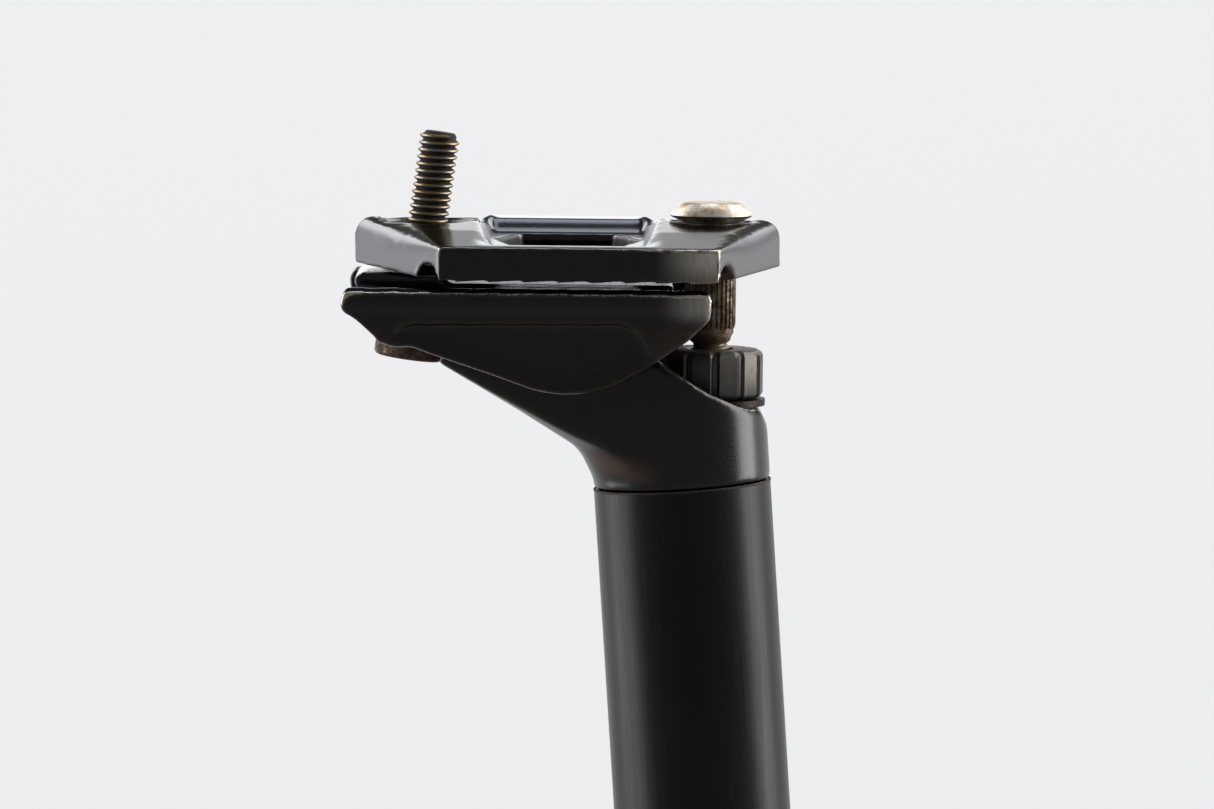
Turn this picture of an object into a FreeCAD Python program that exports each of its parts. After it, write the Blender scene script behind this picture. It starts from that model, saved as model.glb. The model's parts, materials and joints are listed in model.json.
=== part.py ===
"""Suspension seatpost: a 30.9 mm post, a sprung 25 mm shaft and a two-bolt setback rail clamp.

Row frame: origin at the centre of the post's lower end, +Z up the post, +X to the front of the bicycle.
All sizes are millimetres.
"""

import FreeCAD, Part
import math
import os
import re

import Sketcher
from FreeCAD import Placement, Rotation, Vector

DIMENSIONS = {
    # post and its sliding parts
    "post_radius": 15.45,
    "post_bore": 13.5,
    "thread_radius": 15.2,
    "post_length": 258,
    "keyway_depth": 0.95,
    "keyway_width": 4.1,
    "keyway_foot": 150,
    "bush_length": 26,
    "running_gap": 0.05,
    "collar_radius": 18,
    "collar_foot": 243,
    "collar_top": 268,
    "seal_height": 5,
    "plug_height": 13.8,
    "plug_foot": 2,
    "socket_flats": 8,
    "seat_level": 16,
    "seat_thickness": 2,
    # spring and bumpers
    "wire_radius": 1.6,
    "coil_radius": 10.2,
    "coil_turns": 14,
    "guide_level": 164,
    "guide_radius": 6.5,
    "bumper_radius": 7,
    "travel": 40,
    # shaft
    "shaft_radius": 12.5,
    "shaft_bore": 10,
    "shaft_foot_level": 173,
    "seam_level": 320,
    "spigot_length": 24,
    "key_foot": 205,
    "key_length": 20,
    "key_inset": 1.05,
    # rail clamp
    "setback": 14.4,
    "rail_level": 350,
    "clamp_pitch": 4.2,
    "rail_radius": 3.5,
    "rail_spacing": 44,
    "plate_nose": 30,
    "plate_face_front": 20.9,
    "plate_face_rear": 17.8,
    "plate_half_width": 25.5,
    "plate_ridge": 8.7,
    "plate_break": 13.1,
    "plate_edge_top": 5.9,
    "plate_edge_foot": 1.1,
    "end_radius_nose": 2.7,
    "end_radius_break": 3.2,
    "end_radius_side": 0.4,
    "pocket_floor": 6.3,
    "wing_face": 26.5,
    "rocker_radius": 12,
    "rocker_gap": 0.3,
    "rocker_half_width": 9.6,
    # bolts
    "front_bolt_x": 20.2,
    "rear_bolt_x": -21.8,
    "rear_seat_level": -7.5,
    "rear_bolt_lean": 7.7,
    "bolt_radius": 2.9,
    "nut_level": -16.56,
    "nut_height": 7,
    "nut_flats": 15,
    "nut_washer": 0.94,
    "head_end_radius": 6.2,
}

document = FreeCAD.newDocument("SuspensionSeatpost")
sizes = document.addObject("Spreadsheet::Sheet", "Sizes")
for row, (alias, number) in enumerate(DIMENSIONS.items(), start=1):
    sizes.set(f"A{row}", alias.replace("_", " "))
    sizes.set(f"B{row}", str(number))
    sizes.setAlias(f"B{row}", alias)
document.recompute()

FULL_TURN = 360
pieces = []


def formula(text):
    """A size written with plain aliases, such as "post_bore + 1", as an expression on the sheet."""

    def named(word):
        return "Sizes." + word.group() if word.group() in DIMENSIONS else word.group()

    return re.sub(r"[a-z_]+", named, str(text))


def size(text):
    """The number that a formula gives."""
    return float(sizes.evalExpression(formula(text)))


def finish(piece, label, placement=None):
    """Name a finished sub-part, put it in place and remember it for the export."""
    document.recompute()
    piece.Label = label
    if placement is not None:
        piece.Placement = placement
    pieces.append(piece)
    return piece


def bind(item, **formulas):
    """Bind an object's properties to formulas on the sheet."""
    for name, text in formulas.items():
        item.setExpression(name, formula(text))
    return item


def origin_plane(body, role):
    return next(item for item in body.Origin.OriginFeatures if item.Role == role)


def new_sketch(body, role, level=0):
    """A sketch on one of the body's own origin planes, lifted off it by level."""
    sketch = body.newObject("Sketcher::SketchObject", "Outline")
    sketch.AttachmentSupport = [(origin_plane(body, role), "")]
    sketch.MapMode = "FlatFace"
    sketch.setExpression("AttachmentOffset.Base.z", formula(level))
    return sketch


def draw_polygon(sketch, points):
    """A closed outline whose every corner is held by formulas on the sheet."""
    corners = [Vector(size(across), size(up), 0) for across, up in points]
    for index, corner in enumerate(corners):
        following = corners[(index + 1) % len(corners)]
        sketch.addGeometry(Part.LineSegment(corner, following), False)
    for index, (across, up) in enumerate(points):
        previous = (index - 1) % len(points)
        sketch.addConstraint(Sketcher.Constraint("Coincident", previous, 2, index, 1))
        for kind, text in (("DistanceX", across), ("DistanceY", up)):
            number = sketch.addConstraint(Sketcher.Constraint(kind, index, 1, size(text)))
            sketch.setExpression(f"Constraints[{number}]", formula(text))


def draw_circle(sketch, radius, across=0, up=0):
    """A circle whose radius is held by a formula."""
    centre = Vector(size(across), size(up), 0)
    circle = sketch.addGeometry(Part.Circle(centre, Vector(0, 0, 1), size(radius)), False)
    number = sketch.addConstraint(Sketcher.Constraint("Radius", circle, size(radius)))
    sketch.setExpression(f"Constraints[{number}]", formula(radius))
    for kind, text in (("DistanceX", across), ("DistanceY", up)):
        number = sketch.addConstraint(Sketcher.Constraint(kind, circle, 3, size(text)))
        sketch.setExpression(f"Constraints[{number}]", formula(text))


def turned(name, points):
    """A body turned about Z from (radius, level) corners."""
    body = document.addObject("PartDesign::Body", name)
    sketch = new_sketch(body, "XZ_Plane")
    draw_polygon(sketch, points)
    revolution = body.newObject("PartDesign::Revolution", "Turning")
    revolution.Profile = sketch
    revolution.ReferenceAxis = (sketch, ["V_Axis"])
    revolution.Angle = FULL_TURN
    body.Tip = revolution
    return body


def ring(name, inner, outer, foot, top):
    """A plain turned ring."""
    return turned(name, [(inner, foot), (outer, foot), (outer, top), (inner, top)])


def prism(name, role, points, length, middle=True, level=0):
    """A body padded from an outline, to both sides of its plane or upwards from it."""
    body = document.addObject("PartDesign::Body", name)
    sketch = new_sketch(body, role, level)
    draw_polygon(sketch, points)
    pad = body.newObject("PartDesign::Pad", "Pad")
    pad.Profile = sketch
    pad.Midplane = middle
    pad.setExpression("Length", formula(length))
    body.Tip = pad
    return body


def loft(name, low_points, low, high_points, high):
    """A body lofted between two level outlines."""
    body = document.addObject("PartDesign::Body", name)
    sections = []
    for points, level in ((low_points, low), (high_points, high)):
        sketch = new_sketch(body, "XY_Plane", level)
        draw_polygon(sketch, points)
        sections.append(sketch)
    shape = body.newObject("PartDesign::AdditiveLoft", "Loft")
    shape.Profile = sections[0]
    shape.Sections = sections[1:]
    shape.Ruled = True
    body.Tip = shape
    return body


def cylinder(radius, height, placement):
    """A cylinder that stands along its placement's Z."""
    rod = bind(document.addObject("Part::Cylinder", "Rod"), Radius=radius, Height=height)
    rod.Placement = placement
    return rod


def box(length, width, height, placement):
    """A box with one corner at its placement."""
    block = document.addObject("Part::Box", "Block")
    bind(block, Length=length, Width=width, Height=height)
    block.Placement = placement
    return block


def hexagon(flats, height, placement):
    """A hexagonal prism, sized across its flats, with flats facing along X."""
    bar = document.addObject("Part::Prism", "Hexagon")
    bar.Polygon = 6
    bind(bar, Circumradius=f"({flats}) / sqrt(3)", Height=height)
    bar.Placement = placement
    return bar


def fused(*items):
    whole = document.addObject("Part::MultiFuse", "Fused")
    whole.Shapes = list(items)
    return whole


def cut(base, *tools):
    remainder = document.addObject("Part::Cut", "Cut")
    remainder.Base = base
    remainder.Tool = tools[0] if len(tools) == 1 else fused(*tools)
    return remainder


def common(first, second):
    shared = document.addObject("Part::MultiCommon", "Common")
    shared.Shapes = [first, second]
    return shared


def eased(base, wanted, radius_at):
    """Round the edges whose middle point and direction pass the test, by a radius given at each end."""
    document.recompute()
    chosen = []
    for number, edge in enumerate(base.Shape.Edges, start=1):
        middle = edge.valueAt((edge.FirstParameter + edge.LastParameter) / 2)
        first, last = edge.valueAt(edge.FirstParameter), edge.valueAt(edge.LastParameter)
        along = last - first
        if along.Length > 0:
            along.normalize()
        if wanted(middle, along):
            chosen.append((number, radius_at(first), radius_at(last)))
    if not chosen:
        raise ValueError(f"no edge of {base.Name} to round")
    easing = document.addObject("Part::Fillet", "Fillet")
    easing.Base = base
    easing.Edges = chosen
    return easing


def at(across=0, depth=0, level=0, turn=0, axis=Vector(0, 1, 0)):
    """A placement from formulas for its place and a turn in degrees about one axis."""
    return Placement(Vector(size(across), size(depth), size(level)), Rotation(axis, size(turn)))


seam_frame = at(level="seam_level")
clamp_frame = at("-setback", 0, "rail_level", "clamp_pitch")
rear_bolt_frame = clamp_frame * at("rear_bolt_x", 0, "rear_seat_level", "rear_bolt_lean")
front_bolt_frame = clamp_frame * at("front_bolt_x")
across_y = Rotation(Vector(1, 0, 0), -90)
along_x = Rotation(Vector(0, 1, 0), 90)


def lying(radius, length, rotation, across=0, depth=0, level=0):
    """A cylinder on its side, centred on its length."""
    middle = Vector(size(across), size(depth), size(level))
    start = middle - rotation.multVec(Vector(0, 0, size(length) / 2))
    return cylinder(radius, length, Placement(start, rotation))


def make_post_tube():
    body = document.addObject("PartDesign::Body", "PostTube")
    sketch = new_sketch(body, "XY_Plane")
    draw_circle(sketch, "post_radius")
    draw_circle(sketch, "post_bore")
    tube = body.newObject("PartDesign::Pad", "Tube")
    tube.Profile = sketch
    bind(tube, Length="post_length")
    document.recompute()
    plain_volume = body.Shape.Volume
    reach = "post_bore + keyway_depth"
    half = "keyway_width / 2"
    keyway = new_sketch(body, "XY_Plane", "keyway_foot")
    draw_polygon(keyway, [
        ("shaft_radius", f"-{half}"), (reach, f"-{half}"), (reach, half), ("shaft_radius", half)])
    slot = body.newObject("PartDesign::Pocket", "Keyway")
    slot.Profile = keyway
    slot.Reversed = True
    bind(slot, Length="post_length - keyway_foot")
    document.recompute()
    pattern = body.newObject("PartDesign::PolarPattern", "Keyways")
    pattern.Originals = [slot]
    pattern.Axis = (keyway, ["N_Axis"])
    pattern.Angle = FULL_TURN
    pattern.Occurrences = 3
    body.Tip = pattern
    document.recompute()
    if body.Shape.Volume > plain_volume - 100:
        raise ValueError("the keyways cut nothing")
    thread = ring("CollarThread", "thread_radius", "post_radius + 1", "collar_foot", "post_length + 1")
    return finish(cut(body, thread), "post_tube")


def make_post_fittings():
    top = "post_length"
    bush_foot = "post_length - bush_length"
    inner = "shaft_radius + running_gap"
    finish(ring("UpperBush", inner, "post_bore - running_gap", bush_foot, top), "upper_bush")
    key_top = "key_foot + key_length"
    bumper = ring("TopOutBumper", "shaft_radius + 0.2", "post_bore - 0.1", f"{key_top} + 0.4", bush_foot)
    finish(bumper, "top_out_bumper")
    seal_radius = "thread_radius - running_gap"
    seal = turned("WiperSeal", [
        (inner, "post_length + 2"), ("shaft_radius + 1", "post_length"), (seal_radius, "post_length"),
        (seal_radius, "post_length + seal_height"), ("shaft_radius + 0.9", "post_length + seal_height"),
        (inner, "post_length + seal_height - 1.2")])
    finish(seal, "wiper_seal")
    lip_foot = "post_length + seal_height"
    collar = turned("CollarNut", [
        ("thread_radius + running_gap", "collar_foot + 0.05"), ("collar_radius - 1.2", "collar_foot + 0.05"),
        ("collar_radius", "collar_foot + 1.2"), ("collar_radius", "collar_top - 7"),
        ("collar_radius - 1", "collar_top - 6"), ("collar_radius - 1", "collar_top - 2.5"),
        ("collar_radius - 3.5", "collar_top"), ("shaft_radius + 0.5", "collar_top"),
        ("shaft_radius + 0.5", lip_foot), ("thread_radius + running_gap", lip_foot)])
    finish(collar, "collar_nut")
    groove = "plug_foot + plug_height - 4"
    plug_radius = "post_bore - running_gap"
    plug = turned("PreloadPlug", [
        (0, "plug_foot"), ("post_bore - 1", "plug_foot"), (plug_radius, "plug_foot + 1"),
        (plug_radius, groove), ("post_bore - 1.5", groove), ("post_bore - 1.5", f"{groove} + 2"),
        (plug_radius, f"{groove} + 2"), (plug_radius, "plug_foot + plug_height"),
        (0, "plug_foot + plug_height")])
    socket = hexagon("socket_flats", "plug_foot + 8", at(level=-1))
    finish(cut(plug, socket), "preload_plug")
    o_ring = bind(document.addObject("Part::Torus", "ORing"), Radius1="post_bore - 0.8", Radius2=0.7)
    finish(o_ring, "plug_o_ring", at(level=f"{groove} + 1"))
    seat = ring("PreloadSeat", 3, "post_bore - 0.3", "seat_level", "seat_level + seat_thickness")
    finish(seat, "preload_seat")


def make_spring():
    foot = size("seat_level + seat_thickness + wire_radius")
    top = size("guide_level - wire_radius")
    pitch = (top - foot) / size("coil_turns")
    helix = Part.makeHelix(pitch, top - foot, size("coil_radius"))
    start = Vector(size("coil_radius"), 0, 0)
    climb = Vector(0, 2 * math.pi * size("coil_radius"), pitch)
    wire = Part.Wire(Part.Circle(start, climb, size("wire_radius")).toShape())
    coil = document.addObject("Part::Feature", "MainSpring")
    coil.Shape = Part.Wire(helix).makePipeShell([wire], True, True)
    finish(coil, "main_spring", at(level=foot))
    rod_foot = "guide_level - 72"
    bumper_top = f"{rod_foot} - travel - 0.4"
    bumper = turned("BottomBumper", [
        (0, "seat_level + seat_thickness"), ("bumper_radius", "seat_level + seat_thickness"),
        ("bumper_radius", f"{bumper_top} - 6"), ("bumper_radius - 2.5", bumper_top), (0, bumper_top)])
    finish(bumper, "bottom_bumper")
    flange_top = "guide_level + 4"
    guide = turned("SpringGuide", [
        (5.4, rod_foot), ("guide_radius", rod_foot), ("guide_radius", "guide_level"), (12.3, "guide_level"),
        (12.3, flange_top), (3.1, flange_top), (3.1, f"{rod_foot} + 14"), (5.4, f"{rod_foot} + 14")])
    finish(guide, "spring_guide")
    screw_head = f"{rod_foot} + 14"
    screw = turned("FootScrew", [
        (0, f"{screw_head} - 6"), (5, f"{screw_head} - 6"), (5, screw_head), (3, screw_head),
        (3, "shaft_foot_level + 14"), (0, "shaft_foot_level + 14")])
    finish(cut(screw, hexagon(5, 3.5, at(level=f"{screw_head} - 6.5"))), "foot_screw")


def make_shaft():
    foot = "shaft_foot_level"
    bore = "shaft_bore"
    tube = ring("ShaftTube", bore, "shaft_radius", foot, "seam_level")
    inset = "shaft_radius - key_inset"
    pockets = []
    for number in range(3):
        turn = FULL_TURN * number / 3
        about = Placement(Vector(), Rotation(Vector(0, 0, 1), turn))
        half = "-keyway_width / 2"
        pockets.append(box(3, "keyway_width", "key_length", about * at(inset, half, "key_foot")))
        reach = f"post_bore + keyway_depth - running_gap - ({inset})"
        key = box(reach, "keyway_width - 0.1", "key_length - 0.1", Placement())
        seated = about * at(inset, "0.05 - keyway_width / 2", "key_foot + 0.05")
        finish(key, f"shaft_key_{number + 1}", seated)
    finish(cut(tube, *pockets), "shaft_tube")
    flange_foot = "guide_level + 4"
    plug = turned("ShaftFoot", [
        (3.02, flange_foot), ("post_bore - 0.3", flange_foot), ("post_bore - 0.3", foot),
        (f"{bore} - 0.03", foot), (f"{bore} - 0.03", f"{foot} + 17"), (3.02, f"{foot} + 17")])
    finish(plug, "shaft_foot")
    glide = ring("GlideRing", "shaft_radius + 0.03", "post_bore - running_gap", foot, f"{foot} + 20")
    finish(glide, "glide_ring")


def clamp_point(across, level):
    """A point of the clamp frame in the head's own side view, as numbers."""
    point = seam_frame.inverse().multiply(clamp_frame).multVec(Vector(size(across), 0, size(level)))
    return (point.x, point.z)


def bolt_point(across, level):
    """A point of the rear bolt's frame in the head's own side view, as numbers."""
    point = seam_frame.inverse().multiply(rear_bolt_frame).multVec(Vector(size(across), 0, size(level)))
    return (point.x, point.z)


def make_head():
    """Forged setback arm: a swept side view, narrowed in plan towards the rear bolt."""
    lug = "head_end_radius"
    side = prism("HeadSide", "XZ_Plane", [
        ("-shaft_radius", 0), (-36, 0), (-36, 14), bolt_point(4.6, -2), bolt_point(4.6, 0),
        bolt_point(f"-{lug}", 0), bolt_point(f"-{lug}", 3.2), clamp_point(-10.8, -3.9), clamp_point(0, -7),
        clamp_point(8.2, -8.6), clamp_point(10.6, -8.9),
        (-1.1, 17.4), (4.2, 13.6), (8, 11.6), (11.4, 10.4), ("shaft_radius", 7.6), ("shaft_radius", 0)],
        "shaft_radius * 2 + 2")
    reach = -bolt_point(0, 0)[0]
    narrowing = (size("shaft_radius") - size(lug)) / reach
    lean = math.sqrt(1 - narrowing ** 2)
    wide = (f"-shaft_radius * {narrowing}", f"shaft_radius * {lean}")
    slim = (f"-{reach} - {lug} * {narrowing}", f"{lug} * {lean}")
    flank = prism("HeadPlan", "XY_Plane", [
        wide, slim, (slim[0], f"-{slim[1]}"), (wide[0], f"-{wide[1]}")], 50, middle=False)
    plan = fused(cylinder("shaft_radius", 50, Placement()), cylinder(lug, 50, at(-reach)), flank)
    underside = turned("HeadUnderside", [
        (0, 0), ("shaft_radius", 0), ("shaft_radius", 1.6), (14.3, 6.1), (22.5, 12.1), (33.5, 19.7),
        (52, 32.5), (52, 60), (0, 60)])

    def is_bend(middle, along):
        return 5 < middle.z < 7 and middle.x > -20

    hollow_bend = eased(underside, is_bend, lambda end: 6)
    blank = common(common(side, plan), hollow_bend)
    to_seam = seam_frame.inverse()
    trough = lying("rocker_radius + rocker_gap", 40, across_y)
    trough.Placement = to_seam * clamp_frame * trough.Placement
    rear = to_seam * rear_bolt_frame
    front = to_seam * front_bolt_frame
    ledge = "nut_level - nut_washer"
    carved = cut(
        blank, trough,
        cylinder("bolt_radius + 0.3", 12, rear * at(level=-2)),
        cylinder(5.9, 12, rear * at(level=-12)),
        cylinder(9.2, 20, front * at(level=ledge)),
        cylinder("bolt_radius + 0.08", 13, front * at(level=f"{ledge} - 11")))
    spigot = cylinder("shaft_bore - 0.03", "spigot_length + 0.5", at(level="-spigot_length"))
    head = fused(carved, spigot)
    head.Refine = True
    document.recompute()
    return finish(head, "head", seam_frame)


def slot(half_length, radius, low, height, across):
    """A slot cutter, long along X."""
    middle = f"({across})"
    ends = [cylinder(radius, height, at(f"{middle} + {side} * {half_length}", 0, low)) for side in (-1, 1)]
    bar = box(f"2 * {half_length}", f"2 * ({radius})", height,
              at(f"{middle} - {half_length}", f"-({radius})", low))
    return fused(*ends, bar)


def dish(low_radius, high_radius, height, placement):
    """A cone cutter that widens upwards."""
    cone = document.addObject("Part::Cone", "Dish")
    bind(cone, Radius1=low_radius, Radius2=high_radius, Height=height)
    cone.Placement = placement
    return cone


def rail_grooves():
    return [lying("rail_radius", 90, along_x, 0, f"{side} * rail_spacing / 2") for side in (-1, 1)]


def make_upper_clamp():
    """Roof-shaped top plate: a long hexagon in plan, with a sunken window and two rail grooves."""
    plan = prism("PlatePlan", "XY_Plane", [
        ("plate_nose", 0), ("plate_face_front", "plate_half_width"), ("-plate_face_rear", "plate_half_width"),
        ("-plate_nose", 0), ("-plate_face_rear", "-plate_half_width"),
        ("plate_face_front", "-plate_half_width")],
        12, middle=False)
    break_level = "plate_ridge - 1.15"
    roof = prism("PlateRoof", "YZ_Plane", [
        (0, 1.95), ("plate_half_width + 1", "plate_edge_foot - 0.03"),
        ("plate_half_width + 1", "plate_edge_top - 0.13"), ("plate_break", break_level), (0, "plate_ridge"),
        ("-plate_break", break_level), ("-plate_half_width - 1", "plate_edge_top - 0.13"),
        ("-plate_half_width - 1", "plate_edge_foot - 0.03")], 70)
    blank = common(plan, roof)

    def is_slanted_top(middle, along):
        return 0.25 < abs(along.x) < 0.6 and abs(along.z) < 0.3 and middle.z > 4

    def end_radius(point):
        """The ends are rounded most where the roof breaks, and hardly at all at the side faces."""
        if abs(point.y) > size("plate_break") + 1:
            return size("end_radius_side")
        return size("end_radius_nose") if abs(point.y) < 1 else size("end_radius_break")

    eased_plate = eased(blank, is_slanted_top, end_radius)
    inner = [(10.6, "-plate_break"), (10.6, "plate_break"), (9.8, 22.2), (9.2, 30)]
    outer = [(14.6, "-plate_break"), (14.6, "plate_break"), (13.8, 22.2), (13.2, 30)]
    hollow = loft(
        "PlatePocket",
        [(9.2, -30), (9.8, -22.2)] + inner + [(f"-{x}", y) for x, y in reversed(inner)]
        + [(-9.8, -22.2), (-9.2, -30)], "pocket_floor",
        [(13.2, -30), (13.8, -22.2)] + outer + [(f"-{x}", y) for x, y in reversed(outer)]
        + [(-13.8, -22.2), (-13.2, -30)], "pocket_floor + 4")
    window = prism("PlateWindow", "XY_Plane", [
        (10.3, 0), (6.7, 12), (-6.7, 12), (-10.3, 0), (-6.7, -12), (6.7, -12)], 12, middle=False)
    rear = clamp_frame.inverse() * rear_bolt_frame
    nut_seat = turned("NutSeat", [(0, 8.6), (4.6, 8.6), (7.0, 11.2), (7.0, 20), (0, 20)])
    nut_seat.Placement = rear
    plate = cut(
        eased_plate, hollow, window, *rail_grooves(), nut_seat,
        slot(1.0, "bolt_radius + 0.4", -2, 14, -20.3),
        slot(0.8, 3.95, -2, 14, "front_bolt_x"),
        dish(4.7, 6.05, 2.6, at("front_bolt_x", 0, "plate_ridge - 2.4")))
    return finish(plate, "upper_clamp", clamp_frame)


def make_lower_cradle():
    """Rocking cradle: a half-round centre between two winged cheeks that carry the rails."""
    cheek_outline = [
        (-30.3, -0.15), (-30.9, -0.5), (-31.2, -1.2), (-31.1, -2.7), (-30.5, -3.4), (-26.4, -4.8),
        (-23.4, -7.1), (-18.3, -9), (-10.1, -11.7), (-4.5, -13.7), (-1.8, -14.2), (0.6, -14.3),
        (3.2, -14.05), (6.2, -13.2),
        (12.2, -9.9), (16.9, -6.6), (19.7, -3.7), (20, -0.8), (19.5, -0.15)]
    inner_face = 17.5
    cheek = prism("Cheeks", "XZ_Plane", cheek_outline, "wing_face * 2")
    between = box(60, 2 * inner_face, 40, at(-38, -inner_face, -30))
    hollow = box(60, 45.2, 20, at(-38, -22.6, -26.3))
    covers = []
    for side in (-1, 1):
        depth = f"{side} * (wing_face + 1)"
        panel = prism("Panel", "XZ_Plane", [
            (-24.8, -4.7), (7.5, -4.4), (10.1, -5.6), (12.1, -9.6), (6.2, -12.3), (0.6, -13.4),
            (-4.5, -12.8), (-10.1, -10.8), (-18.3, -8.1), (-22.9, -6.3)], 5)
        panel.Placement = at(0, depth, 0)
        cove = prism("Cove", "XZ_Plane", [
            (-34, -2.6), (18.1, -2.6), (16.3, -3.4), (11.7, -20), (-34, -20)], 3.2)
        cove.Placement = at(0, depth, 0)
        covers.extend([panel, cove])
    wings = cut(cheek, between, hollow, *covers)
    half = "rocker_half_width * 2"
    barrel = lying("rocker_radius", half, across_y)
    above = box(40, 40, 20, at(-20, -20, -0.4))
    drum = cut(barrel, above)
    spine = prism("Spine", "XZ_Plane", [
        (15, -2), (15, -0.2), (-16.4, -0.2), (-17.6, 1.3), (-28.6, 1.3), (-29.9, 0.4), (-29.4, -1),
        (-17, -1.7), (-11.4, -2.2), (11.4, -2.2)], half)
    bridge = box(21, 37, 3.2, at(-10.5, -18.5, -3.6))
    rear = clamp_frame.inverse() * rear_bolt_frame
    whole = fused(wings, drum, spine, bridge)
    document.recompute()
    cradle = cut(whole, *rail_grooves(), slot(1.2, "bolt_radius + 0.4", -6, 10, -20.9))
    return finish(cradle, "lower_cradle", clamp_frame)


def make_rear_bolt():
    shank_top = 26.2
    radius = "bolt_radius"
    bolt = turned("RearBolt", [
        (0, -5), (4.6, -5), (5, -4.6), (5, -1), (radius, -1), (radius, shank_top - 0.8),
        ("bolt_radius - 0.8", shank_top), (0, shank_top)])
    finish(cut(bolt, hexagon(5, 3.5, at(level=-5.5))), "rear_bolt", rear_bolt_frame)
    finish(ring("RearWasher", "bolt_radius + 0.25", 5.6, -0.95, 0), "rear_washer", rear_bolt_frame)
    bore = "bolt_radius + running_gap"
    nut = turned("RearNut", [(bore, 9.4), (4, 9.4), (6, 11.8), (6, 13.6), (5.6, 14), (bore, 14)])
    finish(nut, "rear_nut", rear_bolt_frame)


def make_front_bolt():
    rim = "plate_ridge + 0.7"
    neck_radius = 3.65
    bolt = turned("FrontBolt", [
        (0, -25), ("bolt_radius - 0.6", -25), ("bolt_radius", -24.4), ("bolt_radius", -8.6), (3.05, -8.2),
        (3.05, -7.4), (neck_radius, -6.2), (neck_radius, "plate_ridge - 0.5"), (5.95, rim),
        (4.2, f"{rim} + 1.5"), (3.7, f"{rim} + 1.7"), (0, f"{rim} + 1.7")])
    finish(bolt, "front_bolt", front_bolt_frame)
    corner = "nut_flats / sqrt(3)"
    block = hexagon("nut_flats", "nut_height", at(0, 0, "nut_level", 30, Vector(0, 0, 1)))
    trim = turned("NutTrim", [
        (0, "nut_level"), (f"{corner} - 1", "nut_level"), (f"{corner} + 0.2", "nut_level + 0.9"),
        (f"{corner} + 0.2", "nut_level + nut_height - 1.4"), (f"{corner} - 1.6", "nut_level + nut_height"),
        (0, "nut_level + nut_height")])
    bore = cylinder("bolt_radius + running_gap", 20, at(level=-20))
    countersink = cylinder("bolt_radius + 0.5", 2, at(level="nut_level + nut_height - 1"))
    finish(cut(common(block, trim), bore, countersink), "front_thumb_nut", front_bolt_frame)
    washer = ring("FrontWasher", "bolt_radius + 0.15", 7.9, "nut_level - nut_washer", "nut_level - 0.02")
    finish(washer, "front_washer", front_bolt_frame)


def check_and_export():
    document.recompute()
    for item in document.Objects:
        if "Invalid" in item.State or "Error" in item.State:
            raise ValueError(f"{item.Name} failed to build: {item.State}")
    os.makedirs("parts", exist_ok=True)
    for piece in pieces:
        if piece.Shape.isNull() or not piece.Shape.isValid():
            raise ValueError(f"{piece.Label} has no valid shape")
        piece.Shape.exportStep(f"parts/{piece.Label}.step")
        print(f"{piece.Label}: {len(piece.Shape.Solids)} solid, {piece.Shape.Volume:.0f} cubic mm")


make_post_tube()
make_post_fittings()
make_spring()
make_shaft()
make_head()
make_upper_clamp()
make_lower_cradle()
make_rear_bolt()
make_front_bolt()
check_and_export()
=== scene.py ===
"""Looks of a suspension seatpost: forged rail clamp, sprung shaft, collar and post, round its frame."""

import json
import math

import bmesh
import bpy
from bpy.props import FloatProperty, FloatVectorProperty, IntProperty, PointerProperty, StringProperty
from mathutils import Matrix, Vector, noise


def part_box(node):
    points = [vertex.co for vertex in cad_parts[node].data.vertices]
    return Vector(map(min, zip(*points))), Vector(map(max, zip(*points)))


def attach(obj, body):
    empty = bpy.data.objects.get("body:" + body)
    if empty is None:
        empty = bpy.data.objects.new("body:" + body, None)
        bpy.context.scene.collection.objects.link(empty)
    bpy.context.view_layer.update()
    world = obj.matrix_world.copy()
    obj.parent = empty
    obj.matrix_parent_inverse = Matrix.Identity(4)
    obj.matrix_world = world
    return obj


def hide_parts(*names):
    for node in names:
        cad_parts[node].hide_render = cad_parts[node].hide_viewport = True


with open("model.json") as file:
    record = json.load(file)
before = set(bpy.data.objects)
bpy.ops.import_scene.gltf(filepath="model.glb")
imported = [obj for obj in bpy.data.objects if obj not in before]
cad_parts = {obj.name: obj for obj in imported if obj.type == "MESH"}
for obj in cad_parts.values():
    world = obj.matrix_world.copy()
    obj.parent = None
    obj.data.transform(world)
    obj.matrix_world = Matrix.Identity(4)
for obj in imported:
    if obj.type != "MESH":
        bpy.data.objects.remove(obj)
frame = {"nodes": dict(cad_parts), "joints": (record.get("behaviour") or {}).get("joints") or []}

bl_info = {
    "name": "Suspension seatpost",
    "version": (1, 0, 0),
    "blender": (4, 5, 0),
    "location": "3D View > Sidebar > Seatpost",
    "description": "Builds the seatpost's visible pieces and finishes around its frame",
    "category": "Object",
}

MM = 0.001
NODES = frame["nodes"]
JOINTS = {joint["name"]: joint for joint in frame["joints"]}
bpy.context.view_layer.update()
SHAFT_RADIUS = (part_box("shaft_tube")[1].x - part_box("shaft_tube")[0].x) / 2
SEAM_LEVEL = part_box("shaft_tube")[1].z
RAIL_OFFSET = 22 * MM
# Radii between which a thread changes from the painted shade of its dark root to its bright crest.
THREAD_SHADE = 2.55 * MM, 2.82 * MM

# Each lamp's name, place from the point looked at, width and height in metres, power in watts and colour.
LAMPS = (
    ("overhead", (0.15, 0.45, 0.8), 0.5, 0.35, 1.9, "#e4ebff"),
    ("left_box", (-0.9, 0.1, 0.15), 0.7, 1.0, 7.0, "#ffffff"),
    ("left_top", (-0.55, 0.63, 0.56), 0.4, 0.4, 2.8, "#ffffff"),
    ("right_top", (0.6, 0.6, 0.56), 0.4, 0.4, 2.8, "#ffffff"),
    ("right_box", (0.9, 0.1, 0.2), 0.5, 1.0, 9.0, "#fffdfb"),
)


# ---------------------------------------------------------------- settings


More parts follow.
